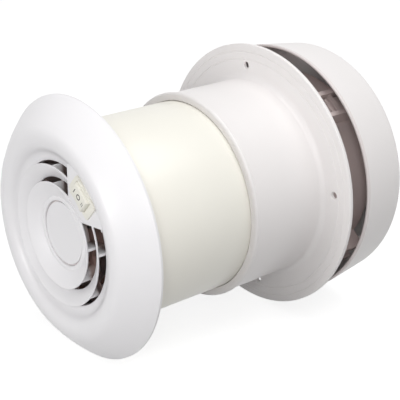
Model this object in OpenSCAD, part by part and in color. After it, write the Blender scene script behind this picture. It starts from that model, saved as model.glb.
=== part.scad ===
// Mushroom roof vent with a small fan: a roof pipe with flange and cap, and a
// ceiling grille on a pipe that slides up into the roof pipe.
// Z runs up along the vent. The origin is the centre of the roof flange's underside.

/* [Roof flange] */
// Width of the flange outside the roof pipe
flange_border = 23.4; // [18:0.2:32]
// Thickness of the flange plate
flange_t = 2.6; // [2:0.2:5]
// Distance of the screw holes from the flange's edge
hole_inset = 14.2; // [12:0.2:16]
// Diameter of each screw hole
hole_d = 4.6; // [3:0.1:6]
// Number of screw holes
hole_count = 4; // [3:1:6]
// Distances of the two shallow sealing grooves from the flange's edge
groove_inner_inset = 10; // [8:0.5:10.5]
groove_outer_inset = 5; // [3:0.5:6]
// Width and depth of a sealing groove
groove_w = 0.8; // [0.4:0.1:1.2]
groove_depth = 0.3; // [0.1:0.1:0.6]

/* [Roof pipe] */
// Outer diameter of the roof pipe
pipe_d = 134.2; // [126:0.2:144]
// Wall of the roof pipe
pipe_wall = 2.8; // [2.4:0.1:3.2]
// Length of the roof pipe below the flange's underside
pipe_drop = 58.7; // [50:0.5:70]
// Radius of the rounded lip round the mouth
lip_r = 4; // [3.5:0.1:5]
// How far the lip stands out from the pipe
lip_out = 1.1; // [0.6:0.1:2]
// Fillet between the pipe and the flange
pipe_fillet = 4; // [2:0.5:5]

/* [Collar and posts] */
// Radial gap between the sliding pipe and the collar
collar_gap = 0.5; // [0.4:0.05:0.8]
// Wall of the collar
collar_wall = 1.8; // [1.4:0.1:2]
// Height of the collar above the flange's top face
collar_h = 41.1; // [36:0.5:48]
// Number of posts that carry the cap
post_count = 4; // [3:1:5]
// Direction of the first post in degrees
post_turn = 46; // [40:1:50]
// Distance from the middle of a post to each of its two plates
post_half_w = 8.1; // [7.5:0.1:9]
// Thickness of a post plate
post_t = 3; // [2:0.2:3.6]
// Radial length of a post plate outside its catch bar
post_lap = 2.2; // [1.6:0.1:3]

/* [Cap] */
// Radial gap between the posts and the cap's rim
cap_gap = 10.1; // [9:0.1:12]
// Height of the rim's lower edge above the roof
cap_rim_z = 20.8; // [14:0.2:24]
// Height of the rounded rim band
cap_rim_h = 1.9; // [1.4:0.1:3]
// Wall of the cap
cap_wall = 1.9; // [1.5:0.1:2.4]
// Height of the skirt from the rim band to the rounded shoulder
skirt_h = 30.5; // [28:0.5:36]
// Lean of the skirt towards the axis in degrees
skirt_lean = 6.7; // [3:0.1:9]
// Radius of the shoulder between the skirt and the top
shoulder_r = 9; // [6:0.5:12]
// Slope of the domed top where it meets the shoulder, in degrees
dome_slope = 8; // [5:0.5:10]

/* [Cap tabs] */
// Radial gap between the collar and each snap tab
tab_gap = 4.9; // [4:0.1:6]
// Thickness of a snap tab
tab_t = 1.8; // [1.4:0.1:2.2]
// Half width of the tab between the post plates
tab_half_w = 5.8; // [4:0.1:6]
// Height of the tab's lower end above the roof
tab_end_z = 22.4; // [16:0.2:24]
// Barb at the tab's end: how far it stands out and how tall it is
barb_out = 1.8; // [1.2:0.1:2.2]
barb_h = 3.2; // [2.4:0.1:4]
// Radial thickness and height of the catch bar in each post
catch_t = 2.4; // [1.8:0.1:2.6]
catch_h = 3; // [2:0.1:4]

/* [Insect screen] */
// Thickness of the screen's rim plate
screen_t = 1.8; // [1.2:0.1:2.4]
// Depth and wall of the screen's plug inside the collar
screen_plug_h = 3.6; // [2.4:0.1:4]
screen_plug_t = 1.6; // [1.2:0.1:2.4]
// Spacing and width of the screen's slats
slat_pitch = 4.8; // [4:0.1:6]
slat_w = 1.4; // [1.2:0.1:2]

/* [Sliding pipe] */
// Radial gap between the roof pipe's bore and the sliding pipe
slide_gap = 1.5; // [1.3:0.05:1.8]
// Wall of the sliding pipe
slide_wall = 2; // [1.6:0.1:2.2]
// Length of sliding pipe inside the roof pipe as shown
slide_overlap = 24; // [22:0.5:30]
// Length of the guide seal inside the mouth
seal_h = 10; // [6:0.5:14]
// Distance of the guide seal from the end of the mouth
seal_inset = 1.5; // [1:0.1:3]

/* [Ceiling ring] */
// Distance between the roof face and the ceiling face as shown
ceiling_gap = 140.7; // [130:0.5:144]
// Width of the ceiling ring outside the sliding pipe
ring_border = 19.7; // [18:0.1:22]
// Wall of the ceiling ring
ring_wall = 2; // [1.6:0.1:2.4]
// Height of the ring's straight rim
rim_h = 1.5; // [1:0.1:2.5]
// Slope of the dome at the rim and where it meets the crown, in degrees
dome_rim_slope = 50.4; // [49:0.1:52]
crown_slope = 36.6; // [36:0.1:38]
// Radius of the dome between the rim and the crown
dome_r = 92; // [90:1:94]
// Radius of the crown
crown_r = 11; // [10.5:0.1:11.5]
// Slope where the crown falls into the recess, in degrees
recess_slope = 50; // [48:1:52]
// Radius and end slope of the blend into the recess
blend_r = 7; // [6.5:0.1:7.5]
recess_end_slope = 8; // [6:0.5:10]
// Width of the sloping land round the opening that holds the louvres
recess_land = 2.09; // [1.5:0.01:2.5]
// Depth and wall of the lip round that opening
recess_lip_h = 5; // [4:0.2:6]
recess_lip_t = 1.8; // [1.4:0.1:2.2]

/* [Louvres] */
// Radial gap between the opening and the front of the large louvre
louvre_gap = 1.3; // [1:0.1:2]
// Radial gap between a louvre's back and the front of the next one inwards
louvre_slot = 1.55; // [1:0.05:2.5]
// Depth of a louvre along the vent
louvre_depth = 4.15; // [3.5:0.05:5]
// Thickness of a louvre along the vent
louvre_t = 1.8; // [1.4:0.1:2]
// Height of the louvre fronts above the ceiling face
louvre_front = 16.55; // [16:0.05:17]
// Number of webs behind the louvres
web_count = 8; // [8:4:12]
// Thickness of a web
web_t = 1.8; // [1.2:0.1:2.4]
// Heights of a web's back edge and front edge above the ceiling face
web_back = 5.3; // [5:0.1:6]
web_front = 10.3; // [9.8:0.1:10.6]
// Outer diameter and wall of the round hub
hub_d = 44.8; // [42:0.2:46]
hub_wall = 2; // [1.6:0.1:2.4]
// Thickness of the hub's floor
hub_floor = 2; // [1.6:0.1:2.2]
// Thickness of the round centre cap, and how far it lies below the hub's rim
centre_cap_t = 1.7; // [1.2:0.1:2]
centre_cap_sunk = 0.6; // [0.3:0.1:1]
// Diameter and length of the centre cap's stem
stem_d = 5; // [4:0.1:6]
stem_len = 2.5; // [2.2:0.1:3]

/* [Ring fastening] */
// Wall and height of the spigot that enters the sliding pipe
spigot_wall = 2; // [1.6:0.1:2.4]
spigot_rise = 9.7; // [8:0.1:12]
// Height of the gussets that carry the sliding pipe, below the ceiling face
gusset_drop = 1.3; // [1:0.1:2]
// Number of fastening bosses and lugs
boss_count = 4; // [3:1:6]
// Distance of the bosses' circle from the inside of the sliding pipe
boss_inset = 6.5; // [6.4:0.1:7]
// Outer diameter of a boss and of its pilot hole
boss_d = 7; // [6:0.1:7.4]
pilot_d = 2.6; // [2:0.1:3]
// Thickness and width of a lug in the sliding pipe
lug_t = 2.5; // [2:0.1:3.5]
lug_w = 9; // [8:0.5:11]
// Length of a lug screw's shank below its lug
lug_screw_grip = 9; // [6:0.5:12]

/* [Switch] */
// Direction of the switch in degrees
switch_turn = 138.6; // [136:0.2:141]
// Distance of the switch's centre outside the edge of the louvres' opening
switch_out = 1; // [0.6:0.1:1.4]
// Width, length and thickness of the switch's face plate
plate_w = 13; // [12.6:0.1:13.4]
plate_len = 23.2; // [22.6:0.1:24]
plate_t = 1.4; // [1:0.1:1.8]
// Corner radius of the face plate
plate_corner = 1.2; // [0.8:0.1:2]
// Width, length and depth of the switch's body
switch_w = 11.4; // [11:0.1:11.6]
switch_len = 21.2; // [21:0.1:21.6]
switch_depth = 12.2; // [11:0.2:13]
// Width of the rocker and its swing radius
rocker_w = 9.4; // [9:0.1:9.6]
rocker_r = 7.8; // [7.6:0.1:8]
// How far the ends of the rocker's face lie in front of its pivot
rocker_front = 4.3; // [4.1:0.1:4.5]
// Offset of the rocker from the switch's centre along the plate
rocker_shift = -0.9; // [-1.2:0.1:-0.6]
// Depth of the dished finger rest
dish_depth = 0.6; // [0.3:0.1:0.9]
// Diameter of the rocker's pin
pin_d = 1.5; // [1.2:0.1:1.8]
// Half width of the flat pad at its inner end and at its outer end
pad_inner_half = 8.9; // [8:0.1:9.4]
pad_outer_half = 23.2; // [22:0.2:24]
// How far the pad reaches inside the louvres' opening, and its widest line outside it
pad_reach = 13.7; // [13.4:0.1:14]
pad_out = 1.5; // [1:0.1:2]
// Thickness of the pad and depth of its side walls
pad_t = 2.4; // [2:0.1:2.6]
pad_skirt = 8; // [6:0.2:9]
// Wall of the pad's sides
pad_wall = 1.8; // [1.4:0.1:2]

/* [Motor] */
// Outer diameter of the motor
motor_d = 32; // [30:0.5:33]
// Length of the motor's can above its end cap
can_len = 30; // [28:0.5:32]
// Wall of the can
can_wall = 1; // [0.8:0.1:1.4]
// Thickness of the motor's end cap
end_cap_t = 5; // [4:0.5:6]
// Diameter and height of the boss on top of the can
can_boss_d = 12; // [10:0.5:14]
can_boss_h = 3.5; // [3:0.1:4]
// Diameter of the motor shaft
shaft_d = 3; // [2.6:0.1:3.4]
// Outer diameter of the shaft bushes
bush_d = 6.4; // [6:0.1:7]
// Gap between the armature and the magnets
armature_air = 0.78; // [0.5:0.02:2]
// Room in the can below and above the armature
armature_below = 6.5; // [5:0.5:8]
armature_above = 5.5; // [3:0.5:8]
// Diameter and length of the commutator
commutator_d = 9; // [8:0.2:10]
commutator_len = 3.6; // [3:0.1:4]
// Thickness of each magnet
magnet_t = 2.7; // [2:0.1:2.8]
// Room in the can below and above the magnets
magnet_margin = 4; // [2.5:0.1:6]
// Wall of the rubber sleeve round the motor
sleeve_t = 1.45; // [1.2:0.05:1.6]
// Length of the rubber sleeve
sleeve_len = 20; // [16:0.5:21]

/* [Motor bracket] */
// Wall and height of the bracket's cup
cup_wall = 1.9; // [1.6:0.1:2.2]
cup_h = 22; // [18:0.5:24]
// Thickness of the bracket's base and of the cup's floor
base_t = 2.4; // [2:0.1:3]
cup_floor = 2; // [1.6:0.1:2.2]
// Radius of the bracket screws' circle and of the base's edge
bracket_screw_r = 27.5; // [26:0.1:28]
base_r = 31.5; // [31:0.1:32]
// Diameter of the pilot holes for the bracket screws
bracket_pilot_d = 2.2; // [1.8:0.1:2.4]

/* [Fan] */
// Gap between the blade tips and the sliding pipe
fan_tip_gap = 2.8; // [2.2:0.1:6]
// Number of blades
blade_count = 5; // [3:1:6]
// Blade chord and thickness
blade_chord = 30; // [24:0.5:31]
blade_t = 1.8; // [1.4:0.1:2.2]
// Pitch of the blades from the fan's plane, in degrees
blade_pitch = 30; // [24:1:33]
// Radius of the blades' curved section
blade_camber_r = 42; // [36:1:60]
// Diameter and height of the fan's hub
fan_hub_d = 23; // [20:0.5:26]
fan_hub_h = 17; // [15:0.5:18]
// Gap between the motor and the hub
fan_gap = 4.5; // [3.5:0.1:6]
// Width across flats and thickness of the nut on the shaft
nut_w = 5.5; // [5:0.1:6]
nut_t = 2.4; // [1.8:0.1:3]

/* [Wiring] */
// Diameter of an insulated lead
lead_d = 1.8; // [1.4:0.1:2]
// Width, length and height of the supply terminal block
block_w = 10; // [9:0.5:11]
block_len = 18; // [16:0.5:19]
block_h = 9.5; // [9:0.1:11]
// Distance of the terminal block's centre outside the louvres' opening
block_out = 0.5; // [0:0.1:1]
// Distance between the two terminals of the block
block_pitch = 9; // [8:0.1:9.6]
// Width and height of the cable notch in the sliding pipe
notch_w = 7.6; // [6:0.1:8.4]
notch_h = 4.8; // [4:0.1:5]

/* [Hidden] */
$fn = 96;

// Clearances: sliding and loose fits, running shaft, and fixed fits within one unit
loose = 0.3;
running = 0.05;
fixed = 0.02;
// Overlap that joins two shapes of one moulding
join = 0.5;
// Pivot of the rocker behind the switch's face plate
pivot_inset = 2.2;
// Length of the hole for the rocker's pin
pin_hole_len = switch_w - 0.6;
// Radius, thickness and width of the motor's terminals
motor_tab_r = 8;
motor_tab_t = 0.56;
motor_tab_w = 2.8;
motor_tab_out = 3.2;
// Length of a shaft bush and of its seat below the can's boss
bush_len = 3.2;
bush_inset = 0.4;
// Clamp bores of the terminal block: wire bore, screw bore and its height
wire_bore = 3;
clamp_bore = 3.4;
clamp_z = 3.4;
clamp_screw_len = 3.4;
// Pan heads of the lug screws and of the bracket screws
lug_head_d = 6.4;
lug_head_h = 2.2;
bracket_head_d = 4.8;
bracket_head_h = 1.8;
// Depth that a bracket screw bites into the grille
bracket_bite = 4.6;
// Rounded edges of the cap's rim
rim_edge = 0.8;
// Seat that holds the terminal block
seat_t = 1.6;
// Slots of the armature
slot_depth = 5;
slot_w = 2.4;
// Resistor body and its wires
resistor_r = 2.1;
resistor_wire_r = 0.4;

// Ceiling ring heights, measured towards the room from the ceiling face
function room(y) = -ceiling_gap - y;

pipe_r = pipe_d/2;
bore_r = pipe_r - pipe_wall;
flange_r = pipe_r + flange_border;
slide_r = bore_r - slide_gap;
slide_in = slide_r - slide_wall;
seal_t = slide_gap - loose;
lip_centre_r = pipe_r + lip_out - lip_r;
collar_in = slide_r + collar_gap;
collar_r = collar_in + collar_wall;
collar_top = flange_t + collar_h;
tab_r = collar_r + tab_gap;
catch_r = tab_r + tab_t + loose;
catch_z = tab_end_z + barb_h + loose;
post_reach = catch_r + catch_t + post_lap;
slide_top = -pipe_drop + slide_overlap;
slide_bottom = room(gusset_drop);
ring_r = slide_r + ring_border;
spigot_r = slide_in - loose/2;
spigot_top = -ceiling_gap + spigot_rise;
hub_r = hub_d/2;
hub_front = louvre_front - louvre_depth;
boss_r = slide_in - boss_inset;
fan_d = 2*(slide_in - fan_tip_gap);
hub_floor_front = hub_front - centre_cap_sunk - centre_cap_t;
hub_floor_back = hub_floor_front - hub_floor;
pad_front = louvre_front;
switch_back = room(pad_front) + switch_depth;
rocker_pivot_z = room(pad_front + plate_t) + pivot_inset;
boss_turn = switch_turn + 180/web_count;
base_z = room(web_back);
motor_r = motor_d/2;
sleeve_r = motor_r + sleeve_t;
cup_in = sleeve_r + fixed;
cup_r = cup_in + cup_wall;
cup_opening_r = motor_r - 3.4;
motor_z = base_z + cup_floor;
cap_inside = motor_z + bush_inset + bush_len;
can_z = motor_z + end_cap_t;
can_top = can_z + can_len;
boss_top = can_top + can_boss_h;
shaft_r = shaft_d/2;
bush_r = bush_d/2;
shaft_bottom = motor_z + 0.8;
armature_z = can_z + armature_below;
armature_len = can_len - armature_below - armature_above;
armature_d = 2*(motor_r - can_wall - fixed - magnet_t - armature_air);
magnet_z = can_z + magnet_margin;
magnet_len = can_len - 2*magnet_margin;
commutator_z = armature_z - commutator_len;
hub_z = boss_top + fan_gap;
hub_top = hub_z + fan_hub_h;
shaft_top = hub_top + nut_t + 0.8;
block_turn = switch_turn + 180;
block_z = base_z;
tab_len = 6.8;
tab_w = 4.8;
tab_thick = 0.8;
tab_pitch = 7;
tab_tip = switch_back + tab_len;

// Points of an arc, angles in degrees, in the plane of the section
function arc(c, r, a0, a1, n) =
    [for (i = [0:n]) let (a = a0 + (a1 - a0)*i/n) [c[0] + r*cos(a), c[1] + r*sin(a)]];

// Section of the cap. A skin lies this far inside the outer face
cap_r = post_reach + cap_gap;
skirt_foot = [cap_r, cap_rim_z + cap_rim_h];
skirt_head = skirt_foot + skirt_h*[-tan(skirt_lean), 1];
shoulder_c = skirt_head - shoulder_r*[cos(skirt_lean), sin(skirt_lean)];
shoulder_end = shoulder_c + shoulder_r*[sin(dome_slope), cos(dome_slope)];
cap_dome_r = shoulder_end[0]/sin(dome_slope);
cap_dome_c = [0, shoulder_end[1] - cap_dome_r*cos(dome_slope)];
function cap_skin(d) = concat(
    [skirt_foot - d*[cos(skirt_lean), sin(skirt_lean)]],
    arc(shoulder_c, shoulder_r - d, skirt_lean, 90 - dome_slope, 14),
    [for (i = [1:9]) cap_dome_c + (cap_dome_r - d)*
        [sin(dome_slope*(9 - i)/9), cos(dome_slope*(9 - i)/9)]]);
function reversed(v) = [for (i = [len(v) - 1:-1:0]) v[i]];
cap_inner_top = cap_dome_c[1] + cap_dome_r - cap_wall;

// Section of the ceiling ring, heights towards the room. A skin lies this far inside
rim_point = [ring_r, rim_h];
dome_c = rim_point - dome_r*[sin(dome_rim_slope), cos(dome_rim_slope)];
crown_start = dome_c + dome_r*[sin(crown_slope), cos(crown_slope)];
crown_c = crown_start - crown_r*[sin(crown_slope), cos(crown_slope)];
crown_top = crown_c[1] + crown_r;
fall_start = crown_c + crown_r*[-sin(recess_slope), cos(recess_slope)];
blend_c = fall_start + blend_r*[-sin(recess_slope), cos(recess_slope)];
blend_end = blend_c + blend_r*[sin(recess_end_slope), -cos(recess_end_slope)];
recess_r = blend_end[0] - recess_land;
recess_edge = [recess_r, blend_end[1] - recess_land*tan(recess_end_slope)];
louvre_large_r = recess_r - louvre_gap;
louvre_pitch = (louvre_large_r - hub_r)/2;
louvre_small_r = louvre_large_r - louvre_pitch;
louvre_w = louvre_pitch - louvre_slot;
switch_r = recess_r + switch_out;
pad_inner_x = recess_r - pad_reach;
pad_outer_x = recess_r + pad_out;
block_r = recess_r + block_out;
function ring_skin(d) = concat(
    arc(dome_c, dome_r - d, 90 - dome_rim_slope, 90 - crown_slope, 6),
    arc(crown_c, crown_r - d, 90 - crown_slope, 90 + recess_slope, 16),
    arc(blend_c, blend_r + d, -90 + recess_slope, -90 + recess_end_slope, 8),
    [recess_edge - [0, d]]);

// A section drawn with heights towards the room, turned into a ring at the ceiling
module ceiling_turned(points) {
    translate([0, 0, -ceiling_gap])
        rotate_extrude()
            polygon([for (p = points) [p[0], -p[1]]]);
}

// A tube about the vent's axis
module tube(r_out, r_in, z0, z1) {
    translate([0, 0, z0])
        difference() {
            cylinder(r = r_out, h = z1 - z0);
            translate([0, 0, -1])
                cylinder(r = r_in, h = z1 - z0 + 2);
        }
}

module around(count, turn) {
    for (i = [0:count - 1])
        rotate([0, 0, turn + i*360/count])
            children();
}

// A flat radial plate from a section of radius and height towards the room
module radial_plate(points, t) {
    translate([0, t/2, -ceiling_gap])
        rotate([90, 0, 0])
            linear_extrude(t)
                polygon([for (p = points) [p[0], -p[1]]]);
}

// A pan head screw that stands head up at the origin
module pan_screw(shank_d, shank_len, head_d, head_h) {
    difference() {
        cylinder(d = head_d, h = head_h);
        for (a = [0, 90])
            rotate([0, 0, a])
                translate([-head_d*0.32, -0.35, head_h*0.45])
                    cube([head_d*0.64, 0.7, head_h]);
    }
    translate([0, 0, -shank_len])
        cylinder(d = shank_d, h = shank_len + 0.1);
}

// White roof pipe with its rounded lip
module roof_pipe() {
    color("white")
    difference() {
        union() {
            translate([0, 0, -pipe_drop + lip_r])
                cylinder(r = pipe_r, h = pipe_drop - lip_r);
            rotate_extrude()
                translate([lip_centre_r, -pipe_drop + lip_r])
                    circle(r = lip_r);
        }
        translate([0, 0, -pipe_drop - 1])
            cylinder(r = bore_r, h = pipe_drop + 2);
    }
}

// White flange with a fillet round the top of the pipe, screw holes and two grooves
module roof_flange() {
    color("whitesmoke")
    difference() {
        union() {
            tube(flange_r, collar_in, 0, flange_t);
            rotate_extrude()
                difference() {
                    translate([pipe_r + fixed, -pipe_fillet])
                        square([pipe_fillet, pipe_fillet + join]);
                    translate([pipe_r + pipe_fillet, -pipe_fillet])
                        circle(r = pipe_fillet);
                }
        }
        around(hole_count, 0)
            translate([flange_r - hole_inset, 0, -1])
                cylinder(d = hole_d, h = flange_t + 2);
        for (inset = [groove_inner_inset, groove_outer_inset])
            tube(flange_r - inset + groove_w/2, flange_r - inset - groove_w/2, -1, groove_depth);
    }
}

// White collar above the flange. Each of its cap posts is two plates and a catch bar
module roof_collar() {
    color([0.72, 0.64, 0.63]) {
        translate([0, 0, flange_t])
            linear_extrude(collar_h)
                difference() {
                    union() {
                        circle(r = collar_r);
                        around(post_count, post_turn)
                            post_plan();
                    }
                    circle(r = collar_in);
                }
        around(post_count, post_turn)
            translate([catch_r, -post_half_w, catch_z])
                cube([catch_t, 2*post_half_w, catch_h]);
    }
}

module post_plan() {
    for (s = [-1, 1])
        translate([collar_r - collar_wall/2, s*post_half_w - post_t/2])
            square([post_reach - collar_r + collar_wall/2, post_t]);
}

// White mushroom cap with four snap tabs that reach into the posts
module roof_cap() {
    color("whitesmoke")
    union() {
        rotate_extrude()
            polygon(concat(
                [[cap_r - cap_wall + 0.1, cap_rim_z], [cap_r - rim_edge, cap_rim_z],
                    [cap_r, cap_rim_z + rim_edge]],
                cap_skin(0), reversed(cap_skin(cap_wall))));
        intersection() {
            around(post_count, post_turn)
                snap_tab();
            rotate_extrude()
                polygon(concat([[0, cap_rim_z - 2], [cap_r - cap_wall, cap_rim_z - 2]],
                    cap_skin(cap_wall/2)));
        }
    }
}

module snap_tab() {
    translate([tab_r, -post_half_w - post_t/2, collar_top])
        cube([tab_t, 2*post_half_w + post_t, cap_inner_top - collar_top + cap_wall/2]);
    translate([tab_r, -tab_half_w, tab_end_z])
        cube([tab_t, 2*tab_half_w, collar_top - tab_end_z + join]);
    translate([tab_r + tab_t - join, -tab_half_w, tab_end_z])
        cube([barb_out + join - loose/2, 2*tab_half_w, barb_h]);
}

// Slatted insect screen that plugs into the top of the collar
module insect_screen() {
    slats = floor(collar_in/slat_pitch);
    color([0.72, 0.64, 0.63])
    union() {
        tube(collar_r - 0.1, collar_in - loose/2 - screen_plug_t, collar_top, collar_top + screen_t);
        tube(collar_in - loose/2, collar_in - loose/2 - screen_plug_t,
            collar_top - screen_plug_h, collar_top + join);
        translate([0, 0, collar_top])
            linear_extrude(slat_w)
                intersection() {
                    circle(r = collar_in - screen_plug_t);
                    union() {
                        for (i = [-slats:slats])
                            translate([i*slat_pitch - slat_w/2, -collar_r])
                                square([slat_w, 2*collar_r]);
                        for (s = [-1, 1])
                            translate([-collar_r, s*collar_r/3 - slat_w/2])
                                square([2*collar_r, slat_w]);
                    }
                }
    }
}

// Guide seal bonded inside the mouth of the roof pipe
module mouth_seal() {
    color("whitesmoke")
        tube(bore_r, bore_r - seal_t, -pipe_drop + seal_inset, -pipe_drop + seal_inset + seal_h);
}

// Cream pipe that slides in the roof pipe
module sliding_pipe() {
    color("ivory")
    difference() {
        union() {
            tube(slide_r, slide_in, slide_bottom, slide_top);
            intersection() {
                around(boss_count, boss_turn)
                    lug();
                translate([0, 0, spigot_top])
                    cylinder(r = slide_r - slide_wall/2, h = lug_t + 1);
            }
        }
        around(boss_count, boss_turn)
            translate([boss_r, 0, spigot_top - 1])
                cylinder(d = pilot_d + 1, h = lug_t + 2);
        rotate([0, 0, block_turn])
            translate([slide_in - 4, -notch_w/2, slide_bottom - 1])
                cube([slide_wall + 8, notch_w, notch_h + 1]);
    }
}

module lug() {
    translate([boss_r, 0, spigot_top])
        cylinder(d = lug_w, h = lug_t);
    translate([boss_r, -lug_w/2, spigot_top])
        cube([slide_r - boss_r, lug_w, lug_t]);
}

// White domed ceiling ring, cut out where the switch pad lies in it
module ceiling_ring() {
    color("white")
    difference() {
        ring_shell();
        switch_frame()
            pad_outline(0, pad_front + 3, -fixed);
    }
}

// White louvres, webs, hub and switch pad that fill the ring's opening
module louvre_grille() {
    color("whitesmoke")
    difference() {
        union() {
            difference() {
                louvres();
                switch_frame()
                    pad_outline(0, pad_front + 2, 0);
            }
            webs();
            hub();
            pad();
            block_seat();
        }
        switch_frame()
            translate([-switch_w/2 - 0.2, -switch_len/2 - 0.2, room(pad_front + 3)])
                cube([switch_w + 0.4, switch_len + 0.4, 20]);
        around(4, switch_turn)
            translate([bracket_screw_r, 0, base_z - bracket_bite - 0.6])
                cylinder(d = bracket_pilot_d, h = bracket_bite + 1);
        translate([0, 0, room(hub_floor_front + 1)])
            cylinder(d = stem_d + loose, h = hub_floor + 3);
    }
}

// White spigot that enters the sliding pipe, with gussets and screw columns, kept inside
// the ring's skin and clear of the switch pad
module ring_spigot() {
    color("white")
    difference() {
        intersection() {
            union() {
                tube(spigot_r, spigot_r - spigot_wall, room(crown_top), spigot_top);
                around(web_count, boss_turn)
                    radial_plate([[spigot_r - join, gusset_drop], [ring_r, gusset_drop],
                        [ring_r, crown_top], [spigot_r - join, crown_top]], web_t);
                around(boss_count, boss_turn)
                    boss();
            }
            ceiling_turned(concat([[recess_r + recess_lip_t + fixed, -spigot_rise],
                [ring_r - ring_wall - fixed, -spigot_rise]], ring_skin(ring_wall + fixed)));
        }
        switch_frame()
            pad_outline(pad_front - pad_skirt - fixed, pad_front + 3, -fixed);
        around(boss_count, boss_turn)
            translate([boss_r, 0, spigot_top - lug_screw_grip - 1.5])
                cylinder(d = pilot_d, h = lug_screw_grip + 3);
        rotate([0, 0, block_turn])
            translate([spigot_r - spigot_wall - 1, -notch_w/2, slide_bottom])
                cube([spigot_wall + 2, notch_w, notch_h]);
    }
}

// Column for a lug screw, tied to the spigot by a rib
module boss() {
    translate([boss_r, 0, room(crown_top)])
        cylinder(d = boss_d, h = spigot_top - room(crown_top));
    translate([boss_r, -web_t/2, room(crown_top)])
        cube([spigot_r - spigot_wall/2 - boss_r, web_t, spigot_top - room(crown_top)]);
}

// Local frame of the switch: x outwards, y round the vent, z as the vent
module switch_frame() {
    rotate([0, 0, switch_turn])
        translate([switch_r, 0, 0])
            children();
}

module ring_shell() {
    ceiling_turned(concat([[ring_r - ring_wall, 0], [ring_r, 0]], ring_skin(0),
        reversed(ring_skin(ring_wall))));
    ceiling_turned([recess_edge, recess_edge + [recess_lip_t, 0.2],
        recess_edge + [recess_lip_t, -recess_lip_h], recess_edge - [0, recess_lip_h]]);
}

module louvres() {
    for (r = [louvre_large_r, louvre_small_r])
        ceiling_turned([[r, louvre_front], [r - louvre_w, louvre_front - louvre_depth],
            [r - louvre_w, louvre_front - louvre_depth - louvre_t],
            [r, louvre_front - louvre_t]]);
}

// Webs carry the louvres. The first one is short and ends at the switch pad
module webs() {
    for (i = [0:web_count - 1])
        rotate([0, 0, switch_turn + i*360/web_count]) {
            web_end = i == 0 ? pad_inner_x + pad_wall/2 : recess_r - fixed;
            radial_plate([[hub_r - hub_wall/2, web_back], [web_end, web_back],
                [web_end, web_front], [hub_r - hub_wall/2, web_front]], web_t);
            if (i > 0)
                fin(louvre_large_r);
            fin(louvre_small_r);
        }
    around(4, switch_turn)
        translate([bracket_screw_r, 0, room(web_front + 2.4)])
            cylinder(d = boss_d, h = web_front + 2.4 - web_back);
}

module fin(front_r) {
    back_r = front_r - louvre_w;
    back_y = louvre_front - louvre_depth - louvre_t/2;
    radial_plate([[back_r, web_back + 1], [back_r, back_y],
        [front_r - 0.3, louvre_front - louvre_t/2 - 0.2], [front_r - 0.3, web_back + 1]], web_t);
}

module hub() {
    tube(hub_r, hub_r - hub_wall, room(hub_front), room(hub_floor_back));
    translate([0, 0, room(hub_floor_front)])
        cylinder(r = hub_r - hub_wall/2, h = hub_floor);
}

// Plan of the switch pad, from one height down to another, drawn in by an inset
module pad_outline(y_back, y_front, inset) {
    flare = (pad_outer_half - pad_inner_half)/(pad_outer_x - pad_inner_x);
    side = inset*(sqrt(1 + flare*flare) - flare);
    translate([-switch_r, 0, room(y_front)])
        linear_extrude(y_front - y_back)
            polygon([[pad_inner_x + inset, pad_inner_half - side],
                [pad_outer_x, pad_outer_half - inset*sqrt(1 + flare*flare)],
                [fall_start[0] + 2, pad_outer_half - inset*sqrt(1 + flare*flare) - 3],
                [fall_start[0] + 2, -pad_outer_half + inset*sqrt(1 + flare*flare) + 3],
                [pad_outer_x, -pad_outer_half + inset*sqrt(1 + flare*flare)],
                [pad_inner_x + inset, -pad_inner_half + side]]);
}

module pad() {
    switch_frame()
        difference() {
            pad_outline(pad_front - pad_skirt, pad_front, 0);
            pad_outline(0, pad_front - pad_t, pad_wall);
        }
}

// Flat seat for the terminal block, carried by one web
module block_seat() {
    rotate([0, 0, block_turn])
        translate([block_r - block_w/2, -block_len/2, room(web_back + seat_t)])
            cube([block_w + 1, block_len, seat_t]);
}

// Round cap that closes the middle of the grille
module centre_cap() {
    color("white") {
        translate([0, 0, room(hub_front - centre_cap_sunk)])
            cylinder(r = hub_r - hub_wall - loose, h = centre_cap_t);
        translate([0, 0, room(hub_floor_front)])
            cylinder(d = stem_d, h = stem_len);
    }
}

module pipe_screws() {
    color("silver")
        around(boss_count, boss_turn)
            translate([boss_r, 0, spigot_top + lug_t])
                pan_screw(pilot_d - 2*fixed, lug_t + lug_screw_grip, lug_head_d, lug_head_h);
}

// Rubber block in the notch where the supply comes in
module cable_grommet() {
    color("dimgray")
    rotate([0, 0, block_turn])
        difference() {
            translate([spigot_r - spigot_wall - 0.8, -notch_w/2 + 0.1, slide_bottom])
                cube([slide_r - spigot_r + spigot_wall + 2.4, notch_w - 0.2, notch_h - 0.2]);
            translate([spigot_r - 6, 0, slide_bottom + notch_h/2])
                rotate([0, 90, 0])
                    cylinder(d = 3, h = 14);
        }
}

// Cream body and face plate of the rocker switch
module switch_body() {
    half_l = plate_len/2 - plate_corner;
    half_w = plate_w/2 - plate_corner;
    color("ivory")
    switch_frame()
        difference() {
            union() {
                translate([0, 0, room(pad_front + plate_t)])
                    linear_extrude(plate_t)
                        union() {
                            square([plate_w, 2*half_l], center = true);
                            square([2*half_w, plate_len], center = true);
                            for (x = [-half_w, half_w])
                                for (y = [-half_l, half_l])
                                    translate([x, y])
                                        circle(r = plate_corner);
                        }
                translate([-switch_w/2, -switch_len/2, room(pad_front) - 0.1])
                    cube([switch_w, switch_len, switch_depth + 0.1]);
            }
            translate([-rocker_w/2 - 0.2, rocker_shift - rocker_r - loose,
                    room(pad_front + plate_t + 1)])
                cube([rocker_w + 0.4, 2*(rocker_r + loose), plate_t + switch_depth - 0.6]);
            rocker_axis()
                cylinder(d = pin_d, h = pin_hole_len, center = true);
        }
}

// Places a child on the rocker's pivot, with its z along the pivot
module rocker_axis() {
    translate([0, rocker_shift, rocker_pivot_z])
        rotate([0, 90, 0])
            children();
}

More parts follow.
